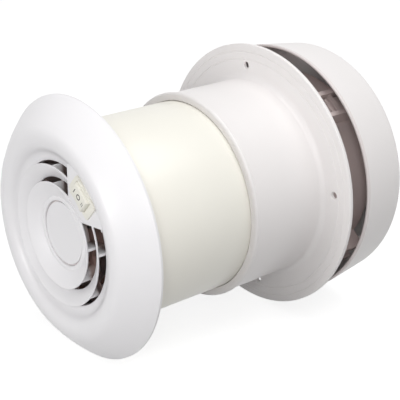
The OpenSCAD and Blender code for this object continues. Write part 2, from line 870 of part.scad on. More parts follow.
module switch_rocker() {
    dish_r = (pow(rocker_r*0.86, 2) + dish_depth*dish_depth)/(2*dish_depth);
    color("ivory")
    switch_frame()
        translate([0, rocker_shift, rocker_pivot_z])
            difference() {
                rotate([90, 0, 90])
                    linear_extrude(rocker_w, center = true)
                        difference() {
                            intersection() {
                                circle(r = rocker_r);
                                translate([-rocker_r, -rocker_front])
                                    square([2*rocker_r, rocker_front + 2.6]);
                            }
                            translate([0, -rocker_front - dish_r + dish_depth])
                                circle(r = dish_r);
                        }
                rotate([0, 90, 0])
                    cylinder(d = pin_d + 2*running, h = rocker_w + 1, center = true);
            }
}

module rocker_pin() {
    color("silver")
    switch_frame()
        rocker_axis()
            cylinder(d = pin_d - fixed, h = pin_hole_len - 0.2, center = true);
}

module switch_terminals() {
    color("gold")
    switch_frame()
        for (i = [-1:1])
            translate([-tab_w/2, i*tab_pitch - tab_thick/2, switch_back])
                cube([tab_w, tab_thick, tab_len]);
}

// Straight round rod between two points
module rod(a, b, r) {
    v = b - a;
    translate(a)
        rotate([0, acos(v[2]/norm(v)), atan2(v[1], v[0])])
            cylinder(r = r, h = norm(v));
}

// Resistor across the two speed terminals of the switch
module speed_resistor() {
    body_x = 3.6;
    body_z = tab_tip + 3;
    body_half = 4.6;
    color("lightblue")
    switch_frame() {
        translate([body_x, 0, body_z])
            rotate([90, 0, 0])
                cylinder(r = resistor_r, h = 2*body_half, center = true);
        for (s = [-1, 1]) {
            rod([body_x, s*(body_half - 0.2), body_z], [body_x, s*tab_pitch, body_z],
                resistor_wire_r);
            translate([body_x, s*tab_pitch, body_z])
                sphere(r = resistor_wire_r);
            rod([body_x, s*tab_pitch, body_z], [1.6, s*tab_pitch, tab_tip + 0.35],
                resistor_wire_r);
        }
    }
}

// Supply terminal block with two clamp bores
module terminal_block() {
    color("whitesmoke")
    rotate([0, 0, block_turn])
        translate([block_r, 0, block_z])
            difference() {
                translate([-block_w/2, -block_len/2, 0])
                    cube([block_w, block_len, block_h]);
                for (s = [-1, 1])
                    translate([0, s*block_pitch/2, clamp_z]) {
                        rotate([0, 90, 0])
                            cylinder(d = wire_bore, h = block_w + 2, center = true);
                        cylinder(d = clamp_bore, h = block_h);
                    }
            }
}

module terminal_screws() {
    color("gold")
    rotate([0, 0, block_turn])
        translate([block_r, 0, block_z + clamp_z + wire_bore/2 + 0.5])
            for (s = [-1, 1])
                translate([0, s*block_pitch/2, 0])
                    difference() {
                        cylinder(d = clamp_bore - 2*fixed, h = clamp_screw_len);
                        translate([-clamp_bore/2, -0.3, clamp_screw_len*0.75])
                            cube([clamp_bore, 0.6, clamp_screw_len]);
                    }
}

// Bracket that holds the motor in a cup on the back of the grille
module motor_bracket() {
    color([0.23, 0.17, 0.15])
    difference() {
        union() {
            tube(cup_r, cup_in, base_z, base_z + cup_h);
            tube(cup_r, cup_opening_r, base_z, base_z + cup_floor);
            tube(cup_r + 3, cup_opening_r, base_z, base_z + base_t - 0.4);
            around(4, switch_turn)
                hull() {
                    translate([bracket_screw_r, 0, base_z])
                        cylinder(r = base_r - bracket_screw_r, h = base_t, $fn = 32);
                    translate([cup_r + 1, 0, base_z])
                        cylinder(r = 6, h = base_t, $fn = 32);
                }
        }
        translate([0, 0, base_z + cup_floor])
            cylinder(r = cup_in, h = cup_h);
        around(4, switch_turn)
            translate([bracket_screw_r, 0, base_z - 1])
                cylinder(d = bracket_pilot_d + 0.8, h = base_t + 2);
    }
}

module bracket_screws() {
    color("silver")
        around(4, switch_turn)
            translate([bracket_screw_r, 0, base_z + base_t])
                pan_screw(bracket_pilot_d - 2*fixed, base_t + bracket_bite,
                    bracket_head_d, bracket_head_h);
}

module motor_sleeve() {
    color("dimgray")
        tube(sleeve_r, motor_r + fixed, motor_z, motor_z + sleeve_len);
}

// Plastic end cap of the motor with a seat for the lower bush
module motor_end_cap() {
    color("white")
    difference() {
        union() {
            translate([0, 0, motor_z])
                cylinder(r = motor_r, h = end_cap_t - 1);
            translate([0, 0, motor_z])
                cylinder(r = motor_r - can_wall - fixed, h = end_cap_t + 1.4);
        }
        translate([0, 0, motor_z + bush_inset])
            cylinder(r = bush_r, h = end_cap_t + 2);
        translate([0, 0, cap_inside])
            cylinder(r = motor_r - can_wall - 2, h = end_cap_t);
        around(2, boss_turn)
            translate([motor_tab_r - motor_tab_t/2 - fixed, -motor_tab_w/2 - fixed, motor_z - 1])
                cube([motor_tab_t + 2*fixed, motor_tab_w + 2*fixed, end_cap_t + 3]);
    }
}

module motor_can() {
    color("silver")
    difference() {
        union() {
            translate([0, 0, can_z - 1])
                cylinder(r = motor_r, h = can_len + 1);
            translate([0, 0, can_top - 0.5])
                cylinder(d = can_boss_d, h = can_boss_h + 0.5);
        }
        translate([0, 0, can_z - 2])
            cylinder(r = motor_r - can_wall, h = can_len + 2 - can_wall);
        translate([0, 0, can_z])
            cylinder(r = bush_r, h = can_len + can_boss_h + 2);
    }
}

module motor_magnets() {
    color("dimgray")
    translate([0, 0, magnet_z])
        for (a = [0, 180])
            rotate([0, 0, switch_turn + a - 62])
                rotate_extrude(angle = 124)
                    translate([motor_r - can_wall - fixed - magnet_t, 0])
                        square([magnet_t, magnet_len]);
}

module motor_bushes() {
    color("goldenrod") {
        tube(bush_r - fixed, shaft_r + running, motor_z + bush_inset, cap_inside);
        tube(bush_r - fixed, shaft_r + running, boss_top - bush_inset - bush_len, boss_top - bush_inset);
    }
}

// Two carbon brushes on spring arms that stand on the end cap
module motor_brushes() {
    brush_z = commutator_z + 0.4;
    color("darkgoldenrod")
        for (a = [0, 180])
            rotate([0, 0, boss_turn + 90 + a]) {
                translate([commutator_d/2 + running, -1.2, brush_z])
                    cube([2.6, 2.4, 2.4]);
                translate([commutator_d/2 + running + 2.4, -1.2, cap_inside])
                    cube([0.5, 2.4, brush_z + 2.4 - cap_inside]);
            }
}

module motor_terminals() {
    color("gold")
        around(2, boss_turn)
            translate([motor_tab_r - motor_tab_t/2, -motor_tab_w/2, motor_z - motor_tab_out])
                cube([motor_tab_t, motor_tab_w, end_cap_t - 1.6 + motor_tab_out]);
}

module motor_shaft() {
    color("silver")
        translate([0, 0, shaft_bottom])
            cylinder(r = shaft_r, h = shaft_top - shaft_bottom);
}

// Wound armature with three poles, parted by three slots
module motor_armature() {
    color("peru")
    translate([0, 0, armature_z])
        difference() {
            cylinder(r = armature_d/2, h = armature_len);
            translate([0, 0, -1])
                cylinder(r = shaft_r + fixed, h = armature_len + 2);
            around(3, 60)
                translate([armature_d/2 - slot_depth, -slot_w/2, -1])
                    cube([slot_depth + 1, slot_w, armature_len + 2]);
        }
}

module motor_commutator() {
    color("chocolate")
        tube(commutator_d/2, shaft_r + fixed, commutator_z, armature_z);
}

// Five curved blades on a hub
module fan_impeller() {
    color([0.23, 0.17, 0.15])
    difference() {
        union() {
            translate([0, 0, hub_z])
                cylinder(d = fan_hub_d, h = fan_hub_h);
            intersection() {
                around(blade_count, 0)
                    blade();
                tube(fan_d/2, fan_hub_d/2 - 1, hub_z, hub_top);
            }
        }
        translate([0, 0, hub_z - 1])
            cylinder(r = shaft_r + fixed, h = fan_hub_h + 2);
    }
}

module blade() {
    half = asin(blade_chord/2/blade_camber_r);
    translate([0, 0, hub_z + fan_hub_h/2])
        rotate([90 - blade_pitch, 0, 0])
            rotate([0, 90, 0])
                linear_extrude(fan_d/2 + 1)
                    translate([0, -blade_camber_r*cos(half/2)])
                        difference() {
                            intersection() {
                                circle(r = blade_camber_r + blade_t/2);
                                polygon([[0, 0], 2*blade_camber_r*[sin(half), cos(half)],
                                    2*blade_camber_r*[-sin(half), cos(half)]]);
                            }
                            circle(r = blade_camber_r - blade_t/2);
                        }
}

module fan_nut() {
    color("silver")
    difference() {
        translate([0, 0, hub_top])
            cylinder(d = nut_w/cos(30), h = nut_t, $fn = 6);
        translate([0, 0, hub_top - 1])
            cylinder(r = shaft_r + fixed, h = nut_t + 2);
    }
}

// A point at a radius, a direction and a height
function at(r, a, z) = [r*cos(a), r*sin(a), z];
// A point given in the switch's frame
function at_switch(x, y, z) = [
    (switch_r + x)*cos(switch_turn) - y*sin(switch_turn),
    (switch_r + x)*sin(switch_turn) + y*cos(switch_turn), z];
// A point given in the terminal block's frame
function at_block(x, y, z) = [
    (block_r + x)*cos(block_turn) - y*sin(block_turn),
    (block_r + x)*sin(block_turn) + y*cos(block_turn), z];
function unit(v) = v/norm(v);
function flat(v, t) = unit(v - (v*t)*t);
// Smooth curve through route points, a few steps to each stretch
function bend(p, i, t) = let (
    n = len(p),
    a = i > 0 ? p[i - 1] : p[i],
    b = p[i],
    c = p[i + 1],
    d = i + 2 < n ? p[i + 2] : p[i + 1])
    b + t*(c - a)/2 + t*t*(a - 2.5*b + 2*c - d/2) + t*t*t*((d - a)/2 + 1.5*(b - c));
function route(p, steps) = concat(
    [for (i = [0:len(p) - 2]) for (j = [0:steps - 1]) bend(p, i, j/steps)], [p[len(p) - 1]]);
function heading(q, i) = i == 0 ? unit(q[1] - q[0]) :
    i == len(q) - 1 ? unit(q[i] - q[i - 1]) : unit(q[i + 1] - q[i - 1]);
function sides(q) = [for (i = 0, u = flat([0.31, 0.52, 0.8], heading(q, 0)); i < len(q);
    i = i + 1, u = i < len(q) ? flat(u, heading(q, i)) : u) u];

// Insulated lead along a route
module lead(points, steps) {
    q = route(points, steps);
    u = sides(q);
    n = 8;
    ring_points = [for (i = [0:len(q) - 1]) for (k = [0:n - 1])
        q[i] + lead_d/2*(cos(360*k/n)*u[i] + sin(360*k/n)*cross(heading(q, i), u[i]))];
    walls = [for (i = [0:len(q) - 2]) for (k = [0:n - 1]) let (m = (k + 1)%n)
        each [[i*n + k, (i + 1)*n + k, (i + 1)*n + m], [i*n + k, (i + 1)*n + m, i*n + m]]];
    last = (len(q) - 1)*n;
    polyhedron(ring_points, concat(walls, [[for (k = [0:n - 1]) k]],
        [[for (k = [n - 1:-1:0]) last + k]]));
}

lead_z = base_z + lead_d/2 + 0.2;
lead_under = (room(hub_floor_back) + base_z)/2;
// Room between the motor bracket's base and the leads that run round it
lead_room = 5.5;
around_r = base_r + lead_room;
lead_end_gap = 0.15;
lead_end_r = motor_tab_r + motor_tab_t/2 + fixed;

// Brown lead from the block to the switch's middle terminal
module supply_lead() {
    color("saddlebrown")
    lead(concat([at_block(-block_w/2, -block_pitch/2, block_z + clamp_z),
        at_block(-block_w/2 - 1.8, -block_pitch/2 - 0.6, block_z + 3)],
        [for (a = [20:25:145]) at(around_r, block_turn - a, lead_z)],
        [at(around_r - 1, switch_turn + 24, lead_z + 4.5), at(around_r + 1, switch_turn + 10, lead_z + 8),
            at_switch(-2.6, 1.4, tab_tip + 4), at_switch(0, 0, tab_tip + 2.6),
            at_switch(0, 0, tab_tip + lead_end_gap)]), 4);
}

// Black lead from the block to one motor terminal
module return_lead() {
    color("black")
    lead([at_block(-block_w/2, block_pitch/2, block_z + clamp_z),
        at_block(-block_w/2 - 2.4, block_pitch/2 + 1, block_z + 3),
        at(around_r - 2, block_turn + 20, lead_z - 1.2), at(base_r - 0.5, boss_turn + 180, lead_under),
        at(hub_r - 2.4, boss_turn + 180, lead_under), at(lead_end_r, boss_turn + 180, lead_under)], 4);
}

// Grey lead from the switch's speed terminal to the other motor terminal
module switched_lead() {
    color("dimgray")
    lead([at_switch(-1.2, tab_pitch, tab_tip + lead_end_gap), at_switch(-1.2, tab_pitch, tab_tip + 1.6),
        at_switch(-2, tab_pitch + 0.6, tab_tip + 2.6),
        at_switch(-5, tab_pitch + 1.6, tab_tip + 0.6), at(around_r + 1, boss_turn - 4, lead_z + 1),
        at(base_r + 1.5, boss_turn, lead_under + 0.6), at(hub_r + 4.6, boss_turn, lead_under),
        at(hub_r - 4.4, boss_turn, lead_under), at(lead_end_r, boss_turn, lead_under)], 4);
}

roof_pipe();
roof_flange();
roof_collar();
roof_cap();
insect_screen();
mouth_seal();
sliding_pipe();
ceiling_ring();
louvre_grille();
ring_spigot();
centre_cap();
pipe_screws();
cable_grommet();
switch_body();
switch_rocker();
rocker_pin();
switch_terminals();
speed_resistor();
terminal_block();
terminal_screws();
motor_bracket();
bracket_screws();
motor_sleeve();
motor_end_cap();
motor_can();
motor_magnets();
motor_bushes();
motor_brushes();
motor_terminals();
motor_shaft();
motor_armature();
motor_commutator();
fan_impeller();
fan_nut();
supply_lead();
return_lead();
switched_lead();
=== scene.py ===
import math

import bmesh
import bpy
from mathutils import Matrix, Vector


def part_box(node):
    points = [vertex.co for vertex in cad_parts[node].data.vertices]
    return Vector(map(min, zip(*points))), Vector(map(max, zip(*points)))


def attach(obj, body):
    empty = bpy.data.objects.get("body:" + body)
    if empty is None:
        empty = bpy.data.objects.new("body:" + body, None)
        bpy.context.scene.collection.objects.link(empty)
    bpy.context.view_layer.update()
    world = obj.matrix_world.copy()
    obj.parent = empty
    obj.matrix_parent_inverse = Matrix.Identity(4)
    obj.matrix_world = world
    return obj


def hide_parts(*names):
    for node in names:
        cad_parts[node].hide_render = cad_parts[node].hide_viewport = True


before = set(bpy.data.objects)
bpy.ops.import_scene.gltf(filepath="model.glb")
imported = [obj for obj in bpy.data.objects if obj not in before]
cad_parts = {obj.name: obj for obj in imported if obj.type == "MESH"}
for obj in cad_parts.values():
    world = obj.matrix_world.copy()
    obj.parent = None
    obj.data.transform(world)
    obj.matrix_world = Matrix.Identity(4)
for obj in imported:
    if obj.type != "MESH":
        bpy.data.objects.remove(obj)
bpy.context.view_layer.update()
scene = bpy.context.scene

# The camera stands where the photograph was taken from, below and in front of the grille,
# with the vent lying on its side. The picture is square.
camera_place = (-0.4998, 0.1931, -0.4404)
camera_right = Vector((-0.63396, -0.07035, 0.77017))
camera_up = Vector((0.18845, 0.95179, 0.24206))
camera_back = camera_right.cross(camera_up)
camera = bpy.data.objects.new("camera", bpy.data.cameras.new("camera"))
camera.data.sensor_width = 36
camera.data.lens = 90.68
camera.data.clip_start = 0.01
camera.data.clip_end = 20
camera.matrix_world = Matrix((
    (camera_right.x, camera_up.x, camera_back.x, camera_place[0]),
    (camera_right.y, camera_up.y, camera_back.y, camera_place[1]),
    (camera_right.z, camera_up.z, camera_back.z, camera_place[2]),
    (0, 0, 0, 1)))
scene.collection.objects.link(camera)
scene.camera = camera
scene.view_settings.view_transform = "Standard"

# A white studio table under the lying vent. It touches the rims of the flange and of the
# grille, shows from above only and keeps the vent's soft shadow.
table_up = Vector((-0.110, 0.994, 0)).normalized()
flange_rim_r, grille_rim_r, rims_apart = 0.0905, 0.0825, 0.1407
table_drop, table_half = 0.0908, 2.2
table_tilt = math.atan2(flange_rim_r - grille_rim_r, rims_apart)
table_normal = Matrix.Rotation(table_tilt, 3, table_up.cross(Vector((0, 0, 1)))) @ table_up
table_mesh = bmesh.new()
bmesh.ops.create_grid(table_mesh, x_segments=1, y_segments=1, size=table_half)
table_turn = Vector((0, 0, 1)).rotation_difference(table_normal).to_matrix().to_4x4()
bmesh.ops.transform(table_mesh, verts=table_mesh.verts,
                    matrix=Matrix.Translation(-table_drop * table_up) @ table_turn)
table = bpy.data.objects.new("studio_table", bpy.data.meshes.new("studio_table"))
table_mesh.to_mesh(table.data)
table_mesh.free()
scene.collection.objects.link(table)


def new_material(name):
    """A node material, with its nodes, links and shader."""
    material = bpy.data.materials.new(name)
    material.use_nodes = True
    nodes, links = material.node_tree.nodes, material.node_tree.links
    return material, nodes, links, nodes.get("Principled BSDF")


def shown(nodes, links):
    """1 for what the camera, gloss and glass show, and 0 for all other light."""
    path = nodes.new("ShaderNodeLightPath")
    total = path.outputs["Is Camera Ray"]
    for ray in ("Is Glossy Ray", "Is Transmission Ray"):
        either = nodes.new("ShaderNodeMath")
        either.operation = "MAXIMUM"
        links.new(total, either.inputs[0])
        links.new(path.outputs[ray], either.inputs[1])
        total = either.outputs[0]
    return total


table_paper, nodes, links, shader = new_material("table_paper")
shader.inputs["Base Color"].default_value = (0.37, 0.37, 0.37, 1)
shader.inputs["Roughness"].default_value = 0.9
shader.inputs["Emission Color"].default_value = (1, 1, 1, 1)
glow = nodes.new("ShaderNodeMath")
glow.operation = "MULTIPLY"
glow.inputs[1].default_value = 0.8
links.new(shown(nodes, links), glow.inputs[0])
links.new(glow.outputs[0], shader.inputs["Emission Strength"])
facing = nodes.new("ShaderNodeNewGeometry")
clear = nodes.new("ShaderNodeBsdfTransparent")
one_sided = nodes.new("ShaderNodeMixShader")
links.new(facing.outputs["Backfacing"], one_sided.inputs[0])
links.new(shader.outputs[0], one_sided.inputs[1])
links.new(clear.outputs[0], one_sided.inputs[2])
links.new(one_sided.outputs[0], nodes["Material Output"].inputs["Surface"])
table.data.materials.append(table_paper)

# Soft studio light: an even room, one large soft lamp above the vent, and two weaker ones,
# behind the camera and before the grille. The room is white to the camera and in gloss.
studio = bpy.data.worlds.new("studio")
studio.use_nodes = True
scene.world = studio
nodes, links = studio.node_tree.nodes, studio.node_tree.links
strength = nodes.new("ShaderNodeMapRange")
strength.inputs["To Min"].default_value = 0.35
strength.inputs["To Max"].default_value = 1
links.new(shown(nodes, links), strength.inputs["Value"])
links.new(strength.outputs[0], nodes["Background"].inputs["Strength"])
nodes["Background"].inputs["Color"].default_value = (1, 1, 1, 1)


def soft_lamp(name, place, target, size, power):
    """A round area lamp that looks at a target."""
    lamp = bpy.data.lights.new(name, "AREA")
    lamp.shape = "DISK"
    lamp.size = size
    lamp.energy = power
    holder = bpy.data.objects.new(name, lamp)
    turned_to = (Vector(target) - Vector(place)).to_track_quat("-Z", "Y").to_matrix().to_4x4()
    holder.matrix_world = Matrix.Translation(place) @ turned_to
    scene.collection.objects.link(holder)


vent_middle = Vector((0, 0, -0.05))
soft_lamp("top_lamp", vent_middle + 1.1 * table_up + Vector((-0.35, 0, 0.1)), vent_middle,
          size=1.1, power=8.6)
soft_lamp("front_lamp", vent_middle + 0.9 * camera_back + 0.03 * camera_up, vent_middle,
          size=0.25, power=1.8)
soft_lamp("side_lamp", vent_middle + 0.2 * table_up + Vector((-0.1, 0, -1.1)), vent_middle,
          size=0.25, power=3.1)

# The roof pipe and its flange. One white ABS moulding: a pipe with a rolled mouth that reaches
# in over the seal, and a round flange that is screwed to the roof. Two shallow grooves in the
# flange's underside hold sealant.


def noise(nodes, links, place, scale, detail):
    """A cloudy pattern that runs from 0 to 1 over a piece."""
    pattern = nodes.new("ShaderNodeTexNoise")
    pattern.inputs["Scale"].default_value = scale
    pattern.inputs["Detail"].default_value = detail
    links.new(place, pattern.inputs["Vector"])
    return pattern.outputs["Fac"]


def vary_tone(nodes, links, shader, pattern, dark, light):
    """Lets a finish wander between two tones."""
    shade = nodes.new("ShaderNodeMix")
    shade.data_type = "RGBA"
    shade.inputs["A"].default_value = (*dark, 1)
    shade.inputs["B"].default_value = (*light, 1)
    links.new(pattern, shade.inputs["Factor"])
    links.new(shade.outputs["Result"], shader.inputs["Base Color"])


def vary_gloss(nodes, links, shader, pattern, shiny, dull):
    """Lets a finish wander between two roughnesses."""
    gloss = nodes.new("ShaderNodeMapRange")
    gloss.inputs["To Min"].default_value = shiny
    gloss.inputs["To Max"].default_value = dull
    links.new(pattern, gloss.inputs["Value"])
    links.new(gloss.outputs["Result"], shader.inputs["Roughness"])


def plastic(name, colour, roughness, tone=0.015, grain=0.03):
    """Satin moulded plastic: slight clouds of tone, and a fine grain in gloss and height."""
    material, nodes, links, shader = new_material(name)
    place = nodes.new("ShaderNodeTexCoord").outputs["Object"]
    clouds = noise(nodes, links, place, scale=30, detail=3)
    vary_tone(nodes, links, shader, clouds, dark=[c * (1 - tone) for c in colour],
              light=[min(1, c * (1 + tone)) for c in colour])
    fine = noise(nodes, links, place, scale=1500, detail=4)
    vary_gloss(nodes, links, shader, fine, shiny=roughness - 0.07, dull=roughness + 0.07)
    bump = nodes.new("ShaderNodeBump")
    bump.inputs["Strength"].default_value = grain
    bump.inputs["Distance"].default_value = 0.0002
    links.new(fine, bump.inputs["Height"])
    links.new(bump.outputs["Normal"], shader.inputs["Normal"])
    return material


def span(node):
    """Lowest and highest corner of a CAD node, in millimetres."""
    return [1000 * Vector(corner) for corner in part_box(node)]


def arc(middle, radius, first, last, steps):
    """Points of an arc in a section, with its angles in degrees."""
    turns = [math.radians(first + (last - first) * i / steps) for i in range(steps + 1)]
    return [(middle[0] + radius * math.cos(a), middle[1] + radius * math.sin(a)) for a in turns]


def turned(section, steps=180, at=(0, 0)):
    """A closed section of radius and height, turned about an upright axis."""
    form = bmesh.new()
    corners = [form.verts.new((at[0] + r, at[1], z)) for r, z in section]
    edges = [form.edges.new(pair) for pair in zip(corners, corners[1:] + corners[:1])]
    bmesh.ops.spin(form, geom=corners + edges, cent=(at[0], at[1], 0), axis=(0, 0, 1),
                   angle=2 * math.pi, steps=steps, use_merge=True)
    bmesh.ops.remove_doubles(form, verts=form.verts, dist=0.0005)
    bmesh.ops.delete(form, geom=[e for e in form.edges if not e.link_faces], context="EDGES")
    bmesh.ops.recalc_face_normals(form, faces=form.faces)
    return form


def soften(form, width, least=40, steps=2):
    """Rounds the edges of a form that are sharper than an angle in degrees."""
    sharp = [edge for edge in form.edges
             if len(edge.link_faces) == 2 and edge.calc_face_angle() > math.radians(least)]
    bmesh.ops.bevel(form, geom=sharp, offset=width, offset_type="OFFSET", segments=steps,
                    profile=0.5, affect="EDGES", material=-1, clamp_overlap=True)
    return form


def gathered(*forms):
    """Several closed forms in one mesh."""
    whole = bmesh.new()
    for form in forms:
        part = bpy.data.meshes.new("part")
        form.to_mesh(part)
        form.free()
        whole.from_mesh(part)
        bpy.data.meshes.remove(part)
    return whole


def around(form, count, first=0):
    """Copies of a form at equal angles about the vent's axis, the first at an angle."""
    bmesh.ops.rotate(form, verts=form.verts, cent=(0, 0, 0),
                     matrix=Matrix.Rotation(math.radians(first), 3, "Z"))
    bmesh.ops.spin(form, geom=form.verts[:] + form.edges[:] + form.faces[:], cent=(0, 0, 0),
                   axis=(0, 0, 1), angle=2 * math.pi * (count - 1) / count,
                   steps=count - 1, use_duplicate=True)
    return form


def cut(form, *knives):
    """What is left of a closed form when others are taken out of it."""
    knife = gathered(*knives)
    bmesh.ops.recalc_face_normals(knife, faces=knife.faces)
    holders = []
    for shape in (form, knife):
        part = bpy.data.meshes.new("part")
        shape.to_mesh(part)
        shape.free()
        holders.append(bpy.data.objects.new("part", part))
        scene.collection.objects.link(holders[-1])
    tool = holders[0].modifiers.new("cut", "BOOLEAN")
    tool.operation = "DIFFERENCE"
    tool.solver = "EXACT"
    tool.object = holders[1]
    left = bmesh.new()
    left.from_object(holders[0], bpy.context.evaluated_depsgraph_get())
    for holder in holders:
        bpy.data.objects.remove(holder)
    return left


def make(name, form, material, body, slot, *nodes_replaced, least=30):
    """Makes a piece of a form drawn in millimetres, and lets it ride on its body."""
    bmesh.ops.scale(form, verts=form.verts, vec=(0.001, 0.001, 0.001))
    mesh = bpy.data.meshes.new(name)
    form.to_mesh(mesh)
    form.free()
    mesh.materials.append(material)
    for face in mesh.polygons:
        face.use_smooth = True
    mesh.set_sharp_from_angle(angle=math.radians(least))
    piece = bpy.data.objects.new(name, mesh)
    scene.collection.objects.link(piece)
    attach(piece, body)
    if nodes_replaced:
        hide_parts(*nodes_replaced)
    return piece


white_abs = plastic("white_abs", (0.86, 0.832, 0.825), 0.36)
low, high = span("roof_flange")
flange_r, flange_t = high.x, high.z
flange_bore = 63.3
low, high = span("roof_pipe")
mouth_z = low.z
lip_r, lip_proud, pipe_wall, fillet_r = 1.8, 1.1, 2.8, 4
lip_x = high.x - lip_r
pipe_r = high.x - lip_proud
bore_r = pipe_r - pipe_wall
roll_reach, roll_t, roll_edge = 1.3, 1.3, 0.6
roll_r = bore_r - roll_reach
lip_meets = math.degrees(math.acos((pipe_r - lip_x) / lip_r))
groove_half, groove_floor, groove_depth = 0.5, 0.3, 0.3
grooves = []
for inset in (10, 5):
    groove_r = flange_r - inset
    grooves += [(groove_r - groove_half, 0), (groove_r - groove_floor, groove_depth),
                (groove_r + groove_floor, groove_depth), (groove_r + groove_half, 0)]
moulding = soften(turned(
    [(flange_bore, 0), (bore_r, 0), (bore_r, mouth_z + roll_t), (roll_r, mouth_z + roll_t)]
    + arc((roll_r + roll_edge, mouth_z + roll_edge), roll_edge, 180, 270, 5)
    + arc((lip_x, mouth_z + lip_r), lip_r, -90, lip_meets, 14)
    + arc((pipe_r + fillet_r, -fillet_r), fillet_r, 180, 90, 10)
    + grooves + [(flange_r, 0), (flange_r, flange_t), (flange_bore, flange_t)]),
    width=0.5, least=70, steps=3)
hole_r, hole_flare, hole_edge, hole_ring = 2.3, 1.4, 0.4, flange_r - 14.2
hole = turned([(0, -1), (hole_r + hole_flare, -1), (hole_r, hole_edge),
               (hole_r, flange_t - hole_edge), (hole_r + hole_flare, flange_t + 1),
               (0, flange_t + 1)], 40, (hole_ring, 0))
make("roof_moulding", cut(moulding, around(hole, 4)), white_abs, "roof_unit", "white_abs",
     "roof_pipe", "roof_flange")

# The collar above the flange, with its four posts. It carries the cap. Its colour is a painted
# brown grey shade, which shows in the gap between the flange and the cap.


def dress(material, *node_names):
    """Gives CAD nodes that keep their own shape their finish."""
    for name in node_names:
        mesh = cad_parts[name].data
        mesh.materials.clear()
        mesh.materials.append(material)


# A brown grey that is painted shade, for white plastic that lies deep under the cap and inside
# the duct.
painted_shade = plastic("brown_grey_abs", (0.60, 0.505, 0.49), 0.45, 0.03)
dress(painted_shade, "roof_collar")

# The guide seal. A strip of soft white rubber bonded inside the mouth, which the cream pipe
# slides in.
white_rubber = plastic("white_rubber", (0.86, 0.85, 0.83), 0.6, 0.03, 0.1)
dress(white_rubber, "mouth_seal")

# The insect screen. A slatted grille pressed into the collar, coloured with the collar's
# painted brown grey shade. It keeps insects out of the duct.
dress(painted_shade, "insect_screen")

# The mushroom cap. A white ABS moulding, domed, with a leaning skirt and a rounded rim whose
# foot is darkened with painted shade. Four tabs inside snap under the bars of its posts.
low, high = span("roof_cap")
cap_r, rim_z = high.x, low.z
cap_wall, foot_h, skirt_h, lean, shoulder_r, dome_slope = 1.9, 1.9, 30.5, 6.7, 9, 8
skirt_foot = Vector((cap_r, rim_z + foot_h))
skirt_head = skirt_foot + skirt_h * Vector((-math.tan(math.radians(lean)), 1))
shoulder = skirt_head - shoulder_r * Vector((math.cos(math.radians(lean)),
                                             math.sin(math.radians(lean))))
dome_out = Vector((math.sin(math.radians(dome_slope)), math.cos(math.radians(dome_slope))))
dome_end = shoulder + shoulder_r * dome_out
cap_dome_r = dome_end.x / dome_out.x
cap_dome_middle = (0, dome_end.y - cap_dome_r * dome_out.y)
outside = (arc(shoulder, shoulder_r, lean, 90 - dome_slope, 20)
           + arc(cap_dome_middle, cap_dome_r, 90 - dome_slope, 90, 16)[1:])
inside = (arc(shoulder, shoulder_r - cap_wall, lean, 90 - dome_slope, 20)
          + arc(cap_dome_middle, cap_dome_r - cap_wall, 90 - dome_slope, 90, 16)[1:])
rim_r, rim_edge = 0.9, 0.7
rim_inside = cap_r - cap_wall + 0.1
rim = ([(rim_inside, rim_z + rim_r)]
       + arc((rim_inside + rim_edge, rim_z + rim_edge), rim_edge, 180, 270, 4)
       + arc((cap_r - rim_r, rim_z + rim_r), rim_r, -90, 0, 6))
cap = turned(rim + [tuple(skirt_foot)] + outside + inside[::-1]
             + [(cap_r - cap_wall, rim_z + foot_h)])


def box(low_corner, high_corner, width=0.3):
    """A block with rounded edges between two corners."""
    form = bmesh.new()
    bmesh.ops.create_cube(form, size=1)
    size = Vector(high_corner) - Vector(low_corner)
    bmesh.ops.scale(form, verts=form.verts, vec=size)
    bmesh.ops.translate(form, verts=form.verts, vec=Vector(low_corner) + size / 2)
    return soften(form, width)


collar_top = span("roof_collar")[1].z
tab_x, tab_t, tab_half, tab_end, tab_turn = 70, 1.8, 5.8, 22.4, 46
root_half, root_top = 8.8, 61
hook_in, hook_out, hook_h, hook_edge = 1.3, 3.4, 3.2, 0.8
tabs = around(gathered(
    box((tab_x, -root_half, collar_top), (tab_x + tab_t, root_half, root_top)),
    box((tab_x, -tab_half, tab_end), (tab_x + tab_t, tab_half, collar_top + 0.5)),
    box((tab_x + hook_in, -tab_half, tab_end),
        (tab_x + hook_out, tab_half, tab_end + hook_h), hook_edge)), 4, tab_turn)
mushroom = make("mushroom_cap", gathered(cap, tabs), white_abs, "roof_unit", "white_abs",
                "roof_cap")
# Inside the skirt and below the collar's top, the tabs and skirt get the painted brown grey
# shade; the rim's foot band gets a darker painted shade.
mushroom.data.materials.append(painted_shade)
mushroom.data.materials.append(plastic("rim_painted_shade", (0.79, 0.73, 0.72), 0.4))
shade_paint_reach = tab_x + 6
for face in mushroom.data.polygons:
    away, level = 1000 * face.center.xy.length, 1000 * face.center.z
    if away < shade_paint_reach and level < collar_top:
        face.material_index = 1
    elif level < rim_z + foot_h:
        face.material_index = 2

# The cream pipe that slides in the roof pipe. Extruded ABS, a little yellower than the
# mouldings, with four lugs for the grille's screws, and a painted brown grey shade inside.
cream_abs = plastic("cream_abs", (0.92, 0.90, 0.825), 0.34, 0.015)


def rounded_copy(name, node, material, body, slot, width, least=40):
    """A CAD node's shape with its edges rounded, which stands for the node."""
    form = bmesh.new()
    form.from_mesh(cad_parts[node].data)
    bmesh.ops.scale(form, verts=form.verts, vec=(1000, 1000, 1000))
    bmesh.ops.remove_doubles(form, verts=form.verts, dist=0.001)
    bmesh.ops.dissolve_limit(form, verts=form.verts, edges=form.edges,
                             angle_limit=math.radians(0.4))
    soften(form, width, least)
    return make(name, form, material, body, slot, node)


pipe = rounded_copy("cream_pipe", "sliding_pipe", cream_abs, "ceiling_unit", "cream_abs", 0.3)
# Faces that look in towards the axis get the painted brown grey shade.
pipe.data.materials.append(painted_shade)
painted_shade_facing = -0.6
for face in pipe.data.polygons:
    outward = Vector((face.center.x, face.center.y, 0)).normalized()
    if outward.dot(face.normal) < painted_shade_facing:
        face.material_index = 1

